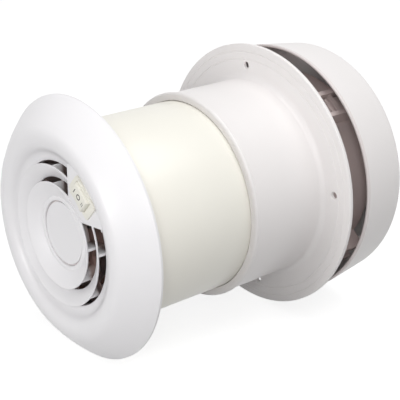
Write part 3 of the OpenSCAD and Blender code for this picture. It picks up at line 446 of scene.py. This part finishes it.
# The ceiling ring. A domed ring of white ABS lies against the ceiling, rounds over at its
# crown and falls into the recess that holds the louvres.
ceiling = span("ceiling_ring")[1].z


def room(height):
    """The level of a height that is measured from the ceiling face into the room."""
    return ceiling - height


def heights(section):
    """A section given with heights into the room."""
    return [(r, room(y)) for r, y in section]


grille_abs = plastic("grille_abs", (0.855, 0.843, 0.857), 0.36)
ring_r = span("ceiling_ring")[1].x
ring_wall, rim_h = 2, 1.5
dome_r, crown_r, hollow_r = 92, 11, 7
rim_slope, crown_slope, fall_slope, end_slope = 50.4, 36.6, 50, 8


def aim(slope):
    """The outward direction of a face with a slope in degrees."""
    return Vector((math.sin(math.radians(slope)), math.cos(math.radians(slope))))


dome_middle = Vector((ring_r, rim_h)) - dome_r * aim(rim_slope)
crown = dome_middle + (dome_r - crown_r) * aim(crown_slope)
hollow = crown + (crown_r + hollow_r) * aim(-fall_slope)
hollow_end = hollow - hollow_r * aim(-end_slope)
land = 2.09
recess = Vector((hollow_end.x - land, hollow_end.y - land * math.tan(math.radians(end_slope))))


def ring_skin(depth, steps):
    """The ring's face, or one that lies some depth behind it."""
    return (arc(dome_middle, dome_r - depth, 90 - rim_slope, 90 - crown_slope, 10)
            + arc(crown, crown_r - depth, 90 - crown_slope, 90 + fall_slope, steps)[1:]
            + arc(hollow, hollow_r + depth, fall_slope - 90, end_slope - 90, steps // 2)[1:])


lip_t, lip_h = 1.8, 5
ring = soften(turned(heights(
    [(ring_r - ring_wall, 0), (ring_r, 0)] + ring_skin(0, 24)
    + [tuple(recess), (recess.x, recess.y - lip_h), (recess.x + lip_t, recess.y - lip_h),
       (recess.x + lip_t, recess.y - ring_wall + 0.2)] + ring_skin(ring_wall, 16)[::-1])),
    width=0.45, least=60, steps=3)

# Plan of the flat pad that carries the switch. It reaches from the crown of the ring in over
# the louvres, and is narrower at its inner end.
switch_turn = 138.6
pad_front, pad_t, pad_skirt, pad_wall = 16.55, 2.4, 8, 1.8
pad_in, pad_out = recess.x - 13.7, recess.x + 1.5
pad_half_in, pad_half_out = 8.9, 22.2
pad_end = (crown + crown_r * aim(-fall_slope)).x + 2


def slab(corners, way):
    """A flat outline, thickened along one direction."""
    form = bmesh.new()
    face = form.faces.new([form.verts.new(corner) for corner in corners])
    grown = bmesh.ops.extrude_face_region(form, geom=[face])["geom"]
    bmesh.ops.translate(form, verts=[v for v in grown if isinstance(v, bmesh.types.BMVert)],
                        vec=way)
    bmesh.ops.recalc_face_normals(form, faces=form.faces)
    return form


def pad_plan(inset, low_y, high_y, reach=pad_end):
    """The pad's plan, drawn in by an inset, between two heights into the room."""
    flare = (pad_half_out - pad_half_in) / (pad_out - pad_in)
    slant = math.hypot(1, flare)
    half_in, half_out = pad_half_in - inset * (slant - flare), pad_half_out - inset * slant
    plan = [(pad_in + inset, half_in), (pad_out, half_out), (reach, half_out - 3)]
    plan += [(x, -y) for x, y in plan[::-1]]
    return slab([(x, y, room(low_y)) for x, y in plan], (0, 0, low_y - high_y))


def to_switch(form):
    """Turns a form from the X axis to the switch's side of the vent."""
    bmesh.ops.rotate(form, verts=form.verts, cent=(0, 0, 0),
                     matrix=Matrix.Rotation(math.radians(switch_turn), 3, "Z"))
    return form


pad_gap = pad_plan(inset=0.6, low_y=-2, high_y=25, reach=pad_end - 0.6)
make("grille_ring", cut(ring, to_switch(pad_gap)), grille_abs, "ceiling_unit",
     "grille_abs", "ceiling_ring")

# The louvre grille. Two cone louvres on eight webs, the hub and the switch's pad fill the
# ring's opening. The same white ABS, with every edge rounded. Deeper in, its colour
# turns to a painted brown shade.
louvre_front, louvre_t, louvre_pitch = 17.6, 1.3, 10.8
louvre_depth, louvre_overlap, into_hub = 5.6, 1.6, 0.6
louvre_r = recess.x - 0.9
hub_r, hub_wall, hub_front = 23.3, 2.9, 12.4

# Each louvre has the radius of its front edge, and the radius and height of its back edge.
cones = [(louvre_r, louvre_r - louvre_pitch + louvre_overlap, louvre_front - louvre_depth),
         (louvre_r - louvre_pitch, hub_r - into_hub, hub_front - into_hub)]
cone_forms = []
for front_r, back_r, back_y in cones:
    cone_forms.append(soften(turned(heights(
        [(front_r, louvre_front), (back_r, back_y), (back_r, back_y - louvre_t),
         (front_r, louvre_front - louvre_t)])), width=0.55, least=30, steps=4))
louvres = cut(gathered(*cone_forms), to_switch(pad_plan(inset=0.5, low_y=5, high_y=25)))

web_count, web_back, web_front, web_t = 8, 5.3, 9.8, 1.8


def web(section):
    """A web on the X axis from a section of radius and height into the room."""
    form = slab([(r, web_t / 2, z) for r, z in heights(section)], (0, -web_t, 0))
    return soften(form, 0.3)


# Each web carries both louvres, but the first one ends in the switch's pad and carries the
# small louvre alone.
web_in, louvre_edge = hub_r - 1, 0.4
webs = []
for i in range(web_count):
    reach = pad_in + 0.9 if i == 0 else recess.x + 0.1
    parts = [web([(web_in, web_back), (reach, web_back), (reach, web_front),
                  (web_in, web_front)])]
    for front_r, back_r, back_y in cones[0 if i else 1:]:
        parts.append(web([(back_r, web_back + 1), (back_r, back_y - louvre_t / 2),
                          (front_r - louvre_edge, louvre_front - louvre_t / 2 - 0.3),
                          (front_r - louvre_edge, web_back + 1)]))
    form = gathered(*parts)
    web_turn = math.radians(switch_turn + 360 / web_count * i)
    bmesh.ops.rotate(form, verts=form.verts, cent=(0, 0, 0),
                     matrix=Matrix.Rotation(web_turn, 3, "Z"))
    webs.append(form)

hub_floor = hub_front - 2.3
hub_back = hub_floor - 2
hub_hole_r = 2.65
hub = soften(turned(heights(
    [(0, hub_floor), (hub_r - hub_wall, hub_floor), (hub_r - hub_wall, hub_front),
     (hub_r, hub_front), (hub_r, hub_back), (0, hub_back)])), width=0.6, least=60, steps=3)
hub_hole = turned(heights([(0, 20), (hub_hole_r, 20), (hub_hole_r, 0), (0, 0)]), 32)

# The pad is a hollow tray with an opening for the switch. A small round gusset fills each
# corner where its sides run into the ring's recess.
pad_block = soften(pad_plan(inset=0, low_y=pad_front - pad_skirt, high_y=pad_front,
                            reach=pad_end + 1), width=0.7, least=40, steps=4)
pad_hollow = pad_plan(inset=pad_wall, low_y=-1, high_y=pad_front - pad_t)
switch_x = recess.x + 1
opening_x, opening_y = 5.9, 10.8
opening = box((switch_x - opening_x, -opening_y, room(20)),
              (switch_x + opening_x, opening_y, room(0)), 0.1)
pad = cut(pad_block, pad_hollow, opening)
side_way = Vector((pad_out - pad_in, pad_half_out - pad_half_in)).normalized()
side_normal = Vector((-side_way.y, side_way.x))
gusset_r, gusset_bed, gusset_back, gusset_t = 4.5, 0.8, 4, 4.6
side_off = Vector((pad_in, pad_half_in)).dot(side_normal)
middle_off = side_off + gusset_r
gusset_middle = (side_normal * middle_off
                 + side_way * math.sqrt((recess.x - gusset_r) ** 2 - middle_off ** 2))
crossing = side_normal * side_off + side_way * math.sqrt(recess.x ** 2 - side_off ** 2)
on_side = gusset_middle - gusset_r * side_normal
on_ring = gusset_middle.normalized() * recess.x
start = math.degrees(math.atan2(-side_normal.y, -side_normal.x))
finish = math.degrees(math.atan2(gusset_middle.y, gusset_middle.x))
gusset_plan = arc(gusset_middle, gusset_r, start, finish, 10) + [
    tuple(on_ring * 1.02), tuple(crossing + gusset_bed * side_way - gusset_bed * side_normal),
    tuple(on_side - gusset_bed * side_normal)]
gussets = [slab([(x, side * y, room(recess.y - gusset_back)) for x, y in gusset_plan],
                (0, 0, -gusset_t)) for side in (1, -1)]

# Four round ferrules take the screws of the motor's bracket, and a flat seat opposite the
# switch carries the supply's terminal block.
ferrule_r, ferrule_ring, ferrule_front = 3.5, 27.5, web_front + 1.4
ferrule = turned(heights([(0, ferrule_front), (ferrule_r, ferrule_front), (ferrule_r, web_back),
                          (0, web_back)]), 40, (ferrule_ring, 0))
block_x = recess.x + 0.5
seat_half, seat_front = 9, 6.9
seat = to_switch(box((-block_x - 6, -seat_half, room(seat_front)),
                     (-block_x + 5, seat_half, room(web_back))))


def paint_shade_deeper(material, first, last, colour):
    """Paints shade into a plastic: it turns into a darker colour between two levels, as it goes
    deeper.
    """
    nodes, links = material.node_tree.nodes, material.node_tree.links
    shader = nodes["Principled BSDF"]
    plain = shader.inputs["Base Color"].links[0].from_socket
    place = nodes.new("ShaderNodeTexCoord")
    parts = nodes.new("ShaderNodeSeparateXYZ")
    links.new(place.outputs["Object"], parts.inputs[0])
    depth = nodes.new("ShaderNodeMapRange")
    depth.inputs["From Min"].default_value = first / 1000
    depth.inputs["From Max"].default_value = last / 1000
    links.new(parts.outputs["Z"], depth.inputs["Value"])
    blend = nodes.new("ShaderNodeMix")
    blend.data_type = "RGBA"
    links.new(depth.outputs["Result"], blend.inputs["Factor"])
    links.new(plain, blend.inputs["A"])
    blend.inputs["B"].default_value = (*colour, 1)
    links.new(blend.outputs["Result"], shader.inputs["Base Color"])
    return material


# Behind the louvres' fronts the moulding's white turns into a painted brown shade.
louvre_painted_shade = paint_shade_deeper(plastic("louvre_painted_shade", (0.855, 0.843, 0.857), 0.36),
                          first=room(11.4), last=room(8.2), colour=(0.48, 0.36, 0.33))
make("louvre_grille_moulding",
     gathered(louvres, *webs, cut(hub, hub_hole), to_switch(gathered(pad, *gussets)),
              around(ferrule, 4, switch_turn), seat),
     louvre_painted_shade, "ceiling_unit", "grille_abs", "louvre_grille")

# The ring's spigot and its screw columns. They are moulded with the ring, reach into the
# cream pipe, and look brown grey in the shade of the duct.
dress(painted_shade, "ring_spigot")

# The centre cap. A plain round disc of the grille's white ABS with a rounded edge, whose stem
# is pressed into the hub.
disc_r, disc_t, disc_edge, disc_crown = hub_r - hub_wall - 0.9, 1.7, 0.6, 0.02
stem_r = 2.5
disc_face = room(hub_front - 0.6)
stem_end = span("centre_cap")[1].z
disc = turned([(0, disc_face), (disc_r - disc_edge - 0.1, disc_face + disc_crown)]
              + arc((disc_r - disc_edge, disc_face + disc_edge), disc_edge, -85, 0, 6)
              + [(disc_r, disc_face + disc_t), (stem_r, disc_face + disc_t),
                 (stem_r, stem_end), (0, stem_end)])
make("hub_disc", disc, grille_abs, "ceiling_unit", "grille_abs", "centre_cap")

# The rocker switch. Its case and face plate are one ivory moulding. The rocker has a dished
# face, with three marks printed on it: one stroke, a ring and two strokes.
ivory = plastic("ivory_plastic", (0.84, 0.82, 0.74), 0.3, 0.02)
rounded_copy("switch_case", "switch_body", ivory, "ceiling_unit", "switch_ivory", 0.3)
rounded_copy("rocker_button", "switch_rocker", ivory, "rocker", "switch_ivory", 0.35)
rocker_front = span("switch_rocker")[0].z
rocker_y, dish_half, dish_depth = -0.9, 0.86 * 7.8, 0.6
dish_r = (dish_half ** 2 + dish_depth ** 2) / (2 * dish_depth)
mark_bed, mark_proud = 0.05, 0.1


def on_rocker(y):
    """The level of the rocker's dished face at a distance from its middle."""
    return rocker_front + dish_depth - dish_r + math.sqrt(dish_r ** 2 - y ** 2)


def stroke(y, half_length, width):
    """A printed stroke across the rocker's face."""
    return box(
        (switch_x - half_length, rocker_y + y - width / 2, on_rocker(y) - mark_bed),
        (switch_x + half_length, rocker_y + y + width / 2, on_rocker(y) + mark_proud), 0.02)


mark_in, mark_out = 1.2, 1.8
ring_foot = on_rocker(mark_out) - mark_bed
ring_top = ring_foot + 0.15
ring_mark = turned([(mark_in, ring_foot), (mark_out, ring_foot), (mark_out, ring_top),
                    (mark_in, ring_top)], 40, (switch_x, rocker_y))
print_grey, nodes, links, shader = new_material("print_grey")
shader.inputs["Base Color"].default_value = (0.045, 0.045, 0.045, 1)
shader.inputs["Roughness"].default_value = 0.6
make("rocker_marks",
     to_switch(gathered(stroke(-4.8, 1.7, 0.8), ring_mark, stroke(4.4, 1.4, 0.5),
                        stroke(5.6, 1.4, 0.5))),
     print_grey, "rocker", "switch_ivory")

# Metal small parts: the steel screws, pin, nut and shaft, the brass terminals and bushes, and
# the copper of the commutator and brushes.


def metal(name, colour, roughness, stretch):
    """Worked metal, with fine drawn lines along the vent's axis."""
    material, nodes, links, shader = new_material(name)
    shader.inputs["Metallic"].default_value = 1
    place = nodes.new("ShaderNodeTexCoord")
    spread = nodes.new("ShaderNodeMapping")
    spread.inputs["Scale"].default_value = (stretch, stretch, 120)
    links.new(place.outputs["Object"], spread.inputs["Vector"])
    lines = noise(nodes, links, spread.outputs["Vector"], scale=1, detail=3)
    vary_gloss(nodes, links, shader, lines, shiny=roughness - 0.08, dull=roughness + 0.1)
    vary_tone(nodes, links, shader, lines, dark=[0.88 * c for c in colour], light=colour)
    return material


zinc_steel = metal("zinc_steel", (0.60, 0.61, 0.63), 0.32, 900)
brass = metal("brass", (0.72, 0.52, 0.23), 0.3, 900)
copper = metal("copper", (0.70, 0.36, 0.22), 0.3, 900)
dress(zinc_steel, "pipe_screws", "bracket_screws", "rocker_pin", "motor_shaft", "fan_nut")
dress(brass, "switch_terminals", "terminal_screws", "motor_terminals", "motor_bushes")
dress(copper, "motor_commutator", "motor_brushes")

# The speed resistor. A lacquered ceramic body on two wires, soldered across the switch's
# terminals. It slows the fan at its first speed.
blue_lacquer = plastic("blue_lacquer", (0.16, 0.27, 0.34), 0.22, 0.05)
dress(blue_lacquer, "speed_resistor")

# The supply's terminal block. Natural nylon, moulded in one piece round its brass clamps, and
# held on its seat at the back of the grille.
nylon = plastic("natural_nylon", (0.72, 0.70, 0.60), 0.45, 0.03)
rounded_copy("supply_block", "terminal_block", nylon, "ceiling_unit", "natural_nylon", 0.35)

# The motor's bracket and the fan. Both are moulded in dark brown plastic, which shows in the
# slots of the grille.
dark_brown = plastic("dark_brown", (0.42, 0.265, 0.235), 0.42, 0.08)
dress(dark_brown, "motor_bracket", "fan_impeller")

# The motor. A drawn steel can and a nylon end cap hold two ferrite magnets and the wound
# armature. A black rubber sleeve holds it in its bracket, and the supply's grommet is of the
# same rubber.
black_rubber = plastic("black_rubber", (0.03, 0.028, 0.027), 0.72, 0.1, 0.2)
dress(black_rubber, "cable_grommet", "motor_sleeve")
motor_steel = metal("motor_steel", (0.52, 0.53, 0.55), 0.36, 1600)
dress(motor_steel, "motor_can")
dress(nylon, "motor_end_cap")
ferrite = plastic("ferrite", (0.05, 0.05, 0.055), 0.6, 0.2, 0.2)
winding = plastic("winding", (0.30, 0.12, 0.06), 0.35, 0.2, 0.3)
dress(ferrite, "motor_magnets")
dress(winding, "motor_armature")

# The three leads, in brown, black and grey PVC. They run behind the grille from the terminal
# block to the switch and to the motor.
block_turn = switch_turn + 180
boss_turn = switch_turn + 22.5
case_depth, terminal_length = 12.2, 6.8
motor_back = room(web_back)
tab_tip = room(pad_front) + case_depth + terminal_length
lead_r = 0.9
lead_z = motor_back + 1.1
lead_under = (room(hub_back) + motor_back) / 2


def at(r, turn, z):
    """A point at a distance and direction from the axis."""
    return Vector((r * math.cos(math.radians(turn)), r * math.sin(math.radians(turn)), z))


def beside(turn, r, x, y, z):
    """A point in the frame of the switch or of the block."""
    return Matrix.Rotation(math.radians(turn), 3, "Z") @ Vector((r + x, y, z))


def smooth(route, steps=6):
    """Points of a smooth curve through a route."""
    points = []
    for i, here in enumerate(route[:-1]):
        back, ahead = route[max(i - 1, 0)], route[i + 1]
        beyond = route[min(i + 2, len(route) - 1)]
        for t in [step / steps for step in range(steps)]:
            points.append(here + t * (ahead - back) / 2
                          + t ** 2 * (back - 2.5 * here + 2 * ahead - beyond / 2)
                          + t ** 3 * ((beyond - back) / 2 + 1.5 * (here - ahead)))
    return points + [route[-1]]


def lead(name, route, material, slot, node):
    """A round insulated lead along a smooth route."""
    path = bpy.data.curves.new(name, "CURVE")
    path.dimensions = "3D"
    path.bevel_depth = lead_r
    path.bevel_resolution = 5
    path.use_fill_caps = True
    line = path.splines.new("POLY")
    points = smooth(route)
    line.points.add(len(points) - 1)
    for point, place in zip(line.points, points):
        point.co = (*place, 1)
    holder = bpy.data.objects.new(name, path)
    scene.collection.objects.link(holder)
    ready = holder.evaluated_get(bpy.context.evaluated_depsgraph_get())
    part = bpy.data.meshes.new_from_object(ready)
    bpy.data.objects.remove(holder)
    form = bmesh.new()
    form.from_mesh(part)
    bpy.data.meshes.remove(part)
    bmesh.ops.remove_doubles(form, verts=form.verts, dist=0.001)
    bmesh.ops.recalc_face_normals(form, faces=form.faces)
    return make(name, form, material, "ceiling_unit", slot, node)


brown_pvc = plastic("brown_pvc", (0.075, 0.035, 0.022), 0.4, 0.04)
black_pvc = plastic("black_pvc", (0.02, 0.02, 0.02), 0.4, 0.04)
grey_pvc = plastic("grey_pvc", (0.09, 0.08, 0.075), 0.4, 0.04)
lead("brown_lead",
     [beside(block_turn, block_x, -5, -4.5, motor_back + 3.4),
      beside(block_turn, block_x, -6.8, -5.1, motor_back + 3)]
     + [at(37, block_turn - turn, lead_z) for turn in range(20, 146, 25)]
     + [at(36, switch_turn + 24, lead_z + 4.5), at(38, switch_turn + 10, lead_z + 8),
        beside(switch_turn, switch_x, -2.6, 1.4, tab_tip + 4),
        beside(switch_turn, switch_x, 0, 0, tab_tip + 2.6),
        beside(switch_turn, switch_x, 0, 0, tab_tip + 0.15)],
     brown_pvc, "brown_sleeve", "supply_lead")
lead("black_lead",
     [beside(block_turn, block_x, -5, 4.5, motor_back + 3.4),
      beside(block_turn, block_x, -7.4, 5.5, motor_back + 3),
      at(35, block_turn + 20, lead_z - 1.2), at(31, boss_turn + 180, lead_under),
      at(20, boss_turn + 180, lead_under), at(8.3, boss_turn + 180, lead_under)],
     black_pvc, "black_sleeve", "return_lead")
lead("grey_lead",
     [beside(switch_turn, switch_x, -1.2, 7, tab_tip + 0.15),
      beside(switch_turn, switch_x, -1.2, 7, tab_tip + 1.6),
      beside(switch_turn, switch_x, -2, 7.6, tab_tip + 2.6),
      beside(switch_turn, switch_x, -5, 8.6, tab_tip + 0.6),
      at(38, boss_turn - 4, lead_z + 1), at(33, boss_turn, lead_under + 0.6),
      at(27, boss_turn, lead_under), at(18, boss_turn, lead_under),
      at(8.3, boss_turn, lead_under)],
     grey_pvc, "grey_sleeve", "switched_lead")
